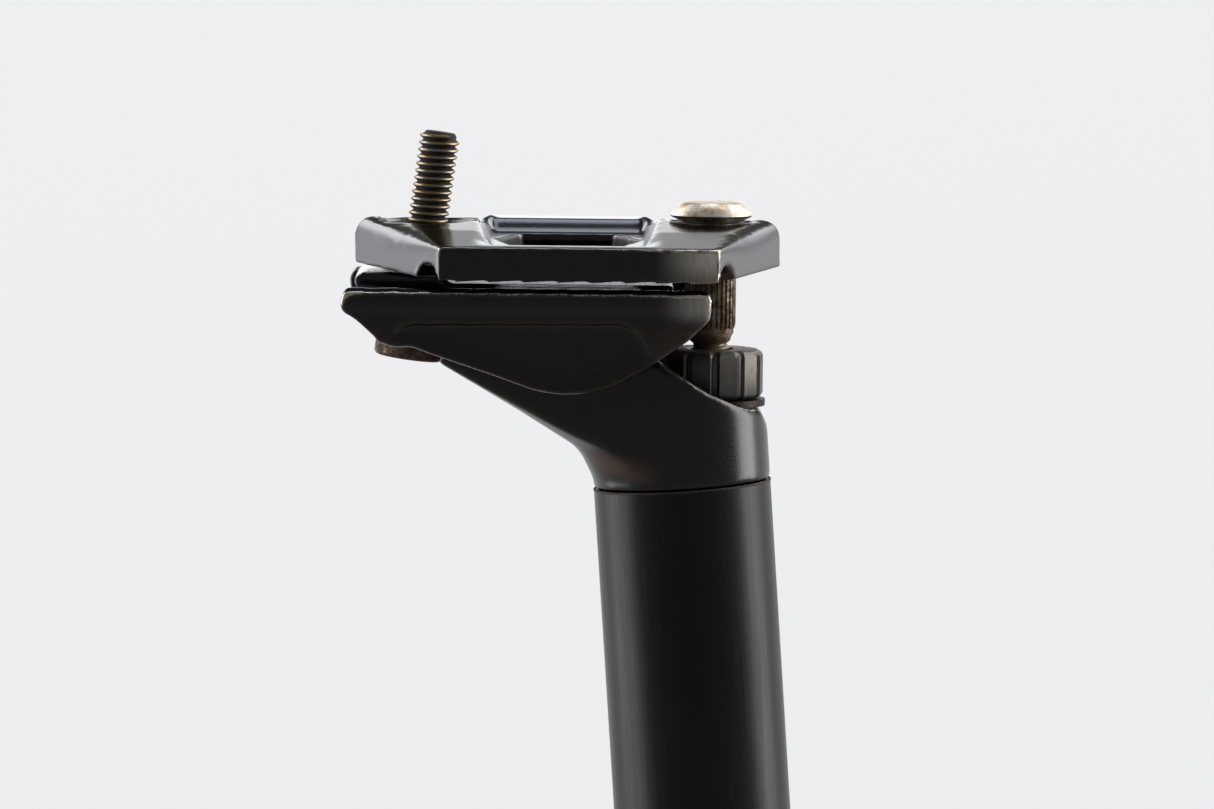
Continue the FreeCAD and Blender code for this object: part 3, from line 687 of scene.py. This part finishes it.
class SEATPOST_OT_thumb_nut(bpy.types.Operator):
    """Build the twelve-sided thumb nut under the front bolt"""

    bl_idname = "seatpost.thumb_nut"
    bl_label = "Thumb nut"

    def execute(self, context):
        settings = context.scene.seatpost_bolt
        rail_level = axis_frame("thumb_nut_turn") @ Matrix.Translation((0, 0, settings.nut_lift))
        low, high = settings.nut_foot, settings.nut_foot + settings.nut_height
        steps = 12
        count = settings.nut_sides * steps
        bore = settings.crest + 0.1 * MM

        def flats(inset):
            """The outline with a shallow groove at every corner, drawn in by an inset in millimetres."""
            def reach(index):
                angle = (index % steps - steps / 2) / steps * 2 * math.pi / settings.nut_sides
                groove = 0.45 * MM if index % steps in (0, 1, steps - 1) else 0.0
                return settings.nut_apothem / math.cos(angle) - groove - inset * MM
            return reach

        nut = bmesh.new()
        bmesh.ops.create_circle(nut, segments=count, radius=bore, cap_ends=False)
        bmesh.ops.translate(nut, verts=nut.verts, vec=(0, 0, low))
        raise_wall(nut, count, [
            (low, flats(1.0)), (low + 0.25 * MM, flats(0.35)), (low + 0.8 * MM, flats(0.0)),
            (high - 0.9 * MM, flats(0.0)), (high - 0.35 * MM, flats(0.25)), (high, flats(0.9)),
            (high, lambda index: bore + 0.5 * MM), (high - 0.5 * MM, lambda index: bore)])
        own_turn = Matrix.Rotation(math.radians(settings.nut_turn), 4, "Z")
        bmesh.ops.transform(nut, matrix=rail_level @ own_turn, verts=nut.verts)
        steel = make_rusty_steel("worn_nickel_nut", "#5f5e5b", "#463a31", "#6b6660", rusting=0.36,
                                 polish=0.5)
        finish_piece("twelve_sided_nut", nut, "thumb_nut", steel, ("front_thumb_nut",))
        return {"FINISHED"}


class SEATPOST_OT_collar(bpy.types.Operator):
    """Build the ribbed collar and the dirt line at the head's seam"""

    bl_idname = "seatpost.collar"
    bl_label = "Collar"

    def execute(self, context):
        settings = context.scene.seatpost_post
        low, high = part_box("collar_nut")
        radius = (high.x - low.x) / 2
        inner = SHAFT_RADIUS + 0.5 * MM
        count = settings.ribs * 6

        def plain(inset):
            """A round wall, an inset in millimetres inside the collar's radius."""
            return lambda index: radius - inset * MM

        def ribbed(index):
            """The collar's radius, with a shallow groove beside every rib."""
            return radius - (settings.rib_depth if index % 6 in (0, 1, 2) else 0.0)

        shell = bmesh.new()
        bmesh.ops.create_circle(shell, segments=count, radius=radius - 1.2 * MM, cap_ends=False)
        bmesh.ops.translate(shell, verts=shell.verts, vec=(0, 0, low.z))
        foot = [(0.0, plain(1.0)), (0.6, plain(0.35)), (1.2, plain(0.05)), (2.2, plain(0.05)), (2.7, ribbed)]
        top = [(8.8, ribbed), (8.3, plain(0.05)), (7.2, plain(0.05)), (6.8, plain(0.3)), (6.2, plain(1.0)),
               (2.7, plain(1.0)), (2.2, plain(1.3)), (0.4, plain(3.2)), (0.05, plain(3.8)),
               (0.0, lambda index: inner + 0.4 * MM), (0.3, lambda index: inner), (4.0, lambda index: inner)]
        raise_wall(shell, count, [(low.z + up * MM, reach) for up, reach in foot]
                   + [(high.z - down * MM, reach) for down, reach in top])
        satin = make_satin_tube("satin_anodised_collar", settings.satin)
        finish_piece("ribbed_collar", shell, "post", satin, ("collar_nut",))
        line = bmesh.new()
        bmesh.ops.create_circle(line, segments=10, radius=0.16 * MM, matrix=Matrix.Translation(
            (SHAFT_RADIUS - 0.06 * MM, 0, SEAM_LEVEL)) @ Matrix.Rotation(math.pi / 2, 4, "X"))
        bmesh.ops.spin(line, geom=list(line.verts) + list(line.edges), cent=(0, 0, 0), axis=(0, 0, 1),
                       angle=2 * math.pi, steps=96, use_merge=True)
        bmesh.ops.remove_doubles(line, verts=line.verts, dist=1e-7)
        dirt = make_moulded("seam_dirt", "#3a2c20", "#1a1512", (0.6, 0.8), 0.4)
        finish_piece("seam_line", line, "shaft", dirt)
        return {"FINISHED"}


class SEATPOST_OT_finishes(bpy.types.Operator):
    """Give every carried-over node its finish"""

    bl_idname = "seatpost.finishes"
    bl_label = "Finishes"

    def execute(self, context):
        satin = context.scene.seatpost_post.satin
        bolt = context.scene.seatpost_bolt
        tube = make_satin_tube("satin_anodised_tube", satin)
        rust = make_rusty_steel("rusty_plated_steel", bolt.steel, bolt.rust, rusting=0.5)
        brassy = make_rusty_steel("brassy_nut_steel", "#b08a4e", bolt.rust, "#c7a468", rusting=0.3)
        finishes = {
            "shaft_tube": tube, "post_tube": tube,
            "rear_nut": brassy, "rear_washer": rust,
            "front_thumb_nut": make_machined_metal("worn_nickel_steel", "#8d8a83", "#6f6a62", (0.28, 0.5),
                                                   depth_mm=0.02),
            "front_washer": make_machined_metal("blackened_steel", "#3a3632", "#241f1c", (0.4, 0.6)),
            "wiper_seal": make_moulded("nitrile_rubber", "#141414", "#1b1b1b", (0.55, 0.75)),
            "main_spring": make_machined_metal("oil_tempered_wire", "#55555a", "#3e3e44", (0.3, 0.45), 0.3),
            "preload_plug": make_machined_metal("turned_aluminium", "#b9babd", "#a7a8ac", (0.25, 0.4), 0.4,
                                                stretch=(0.1, 0.1, 4)),
        }
        finishes["plug_o_ring"] = finishes["wiper_seal"]
        finishes["shaft_foot"] = finishes["preload_plug"]
        acetal = make_moulded("natural_acetal", "#d8d2c0", "#cfc8b4", (0.35, 0.5))
        black_acetal = make_moulded("black_acetal", "#1c1c1e", "#242427", (0.35, 0.5))
        urethane = make_moulded("cast_polyurethane", "#b8692a", "#a85c22", (0.3, 0.45))
        zinc = make_machined_metal("zinc_plated_steel", "#c3c5c8", "#aeb0b5", (0.25, 0.4), 0.4)
        brass = make_machined_metal("drawn_brass", "#c9a255", "#b98f43", (0.25, 0.4), 0.3)
        finishes.update({"upper_bush": acetal, "glide_ring": acetal, "spring_guide": black_acetal})
        finishes.update({"top_out_bumper": urethane, "bottom_bumper": urethane})
        finishes.update({"foot_screw": zinc, "preload_seat": zinc})
        finishes.update({f"shaft_key_{number}": brass for number in (1, 2, 3)})
        for node, material in finishes.items():
            NODES[node].data.materials.clear()
            NODES[node].data.materials.append(material)
        return {"FINISHED"}


class SEATPOST_OT_stage(bpy.types.Operator):
    """Set the floor, the soft studio light and the camera"""

    bl_idname = "seatpost.stage"
    bl_label = "Stage"

    def execute(self, context):
        settings = context.scene.seatpost_stage
        # Seen directly the floor is pale all round; in reflections it darkens in front of the post.
        material, shader = new_material("pale_floor")
        behind = add_node(material, "ShaderNodeSeparateXYZ", {"Vector": place(material)}).outputs["Y"]
        direct = add_node(material, "ShaderNodeLightPath").outputs["Is Camera Ray"]
        glow = span(material, behind, -0.2, 1.6, settings.dark_side, settings.floor_glow)
        feed(material, shader, Base_Color=linear("#4c4c4e"), Roughness=0.9,
             Emission_Color=linear(settings.floor_colour),
             Emission_Strength=blend(material, direct, glow, settings.floor_glow))
        ground = bmesh.new()
        bmesh.ops.create_grid(ground, x_segments=1, y_segments=1, size=30)
        data = bpy.data.meshes.new("floor")
        ground.to_mesh(data)
        ground.free()
        floor = bpy.data.objects.new("floor", data)
        floor.data.materials.append(material)
        context.scene.collection.objects.link(floor)
        world = bpy.data.worlds.new("studio")
        context.scene.world = world
        world.use_nodes = True
        toward = add_node(world, "ShaderNodeSeparateXYZ",
                          {"Vector": add_node(world, "ShaderNodeTexCoord").outputs["Generated"]})
        glow = span(world, toward.outputs["Y"], 0.915, 0.985, settings.dark_side, settings.bright_side)
        background = world.node_tree.nodes["Background"]
        background.inputs["Color"].default_value = linear("#f4f4f6")
        world.node_tree.links.new(glow, background.inputs["Strength"])
        aim = Vector((0, 0, SEAM_LEVEL)) + Vector(settings.aim)
        for name, offset, width, tall, power, colour in LAMPS:
            lamp = bpy.data.lights.new(name, "AREA")
            lamp.shape = "RECTANGLE"
            lamp.size = width
            lamp.size_y = tall
            lamp.energy = power
            lamp.color = linear(colour)[:3]
            holder = bpy.data.objects.new(name, lamp)
            holder.location = aim + Vector(offset)
            holder.rotation_euler = (-Vector(offset)).to_track_quat("-Z", "Y").to_euler()
            context.scene.collection.objects.link(holder)
        bearing, height = math.radians(settings.bearing), math.radians(settings.height)
        back = Vector((math.sin(bearing) * math.cos(height), -math.cos(bearing) * math.cos(height),
                       math.sin(height)))
        camera = bpy.data.cameras.new("camera")
        camera.lens = settings.lens
        camera.sensor_width = 36
        camera.clip_end = 100
        holder = bpy.data.objects.new("camera", camera)
        facing = (-back).to_track_quat("-Z", "Y").to_matrix().to_4x4()
        holder.matrix_world = (Matrix.Translation(aim + back * settings.distance) @ facing
                               @ Matrix.Rotation(math.radians(settings.roll), 4, "Z"))
        context.scene.collection.objects.link(holder)
        context.scene.camera = holder
        context.scene.view_settings.view_transform = "Standard"
        return {"FINISHED"}


class SEATPOST_PT_panel(bpy.types.Panel):
    """Settings and build steps"""

    bl_idname = "SEATPOST_PT_panel"
    bl_label = "Seatpost"
    bl_space_type = "VIEW_3D"
    bl_region_type = "UI"
    bl_category = "Seatpost"

    def draw(self, context):
        scene = context.scene
        for key in GROUPS:
            group = getattr(scene, key)
            for name in group.__annotations__:
                self.layout.prop(group, name)
        for operator in OPERATORS:
            self.layout.operator(operator.bl_idname)


OPERATORS = (SEATPOST_OT_stage, SEATPOST_OT_forgings, SEATPOST_OT_rear_bolt, SEATPOST_OT_front_bolt,
             SEATPOST_OT_thumb_nut, SEATPOST_OT_collar, SEATPOST_OT_finishes)
GROUPS = {"seatpost_forging": ForgingSettings, "seatpost_bolt": BoltSettings, "seatpost_post": PostSettings,
          "seatpost_stage": StageSettings}


def register():
    for group in GROUPS.values():
        bpy.utils.register_class(group)
    for item in (*OPERATORS, SEATPOST_PT_panel):
        bpy.utils.register_class(item)
    for name, group in GROUPS.items():
        setattr(bpy.types.Scene, name, PointerProperty(type=group))


def unregister():
    for name in GROUPS:
        delattr(bpy.types.Scene, name)
    for item in (SEATPOST_PT_panel, *reversed(OPERATORS)):
        bpy.utils.unregister_class(item)
    for group in GROUPS.values():
        bpy.utils.unregister_class(group)


def main():
    """Build the scene."""
    register()
    bpy.ops.seatpost.stage()
    bpy.ops.seatpost.forgings()
    bpy.ops.seatpost.rear_bolt()
    bpy.ops.seatpost.front_bolt()
    bpy.ops.seatpost.thumb_nut()
    bpy.ops.seatpost.collar()
    bpy.ops.seatpost.finishes()


if __name__ == "__main__":
    main()
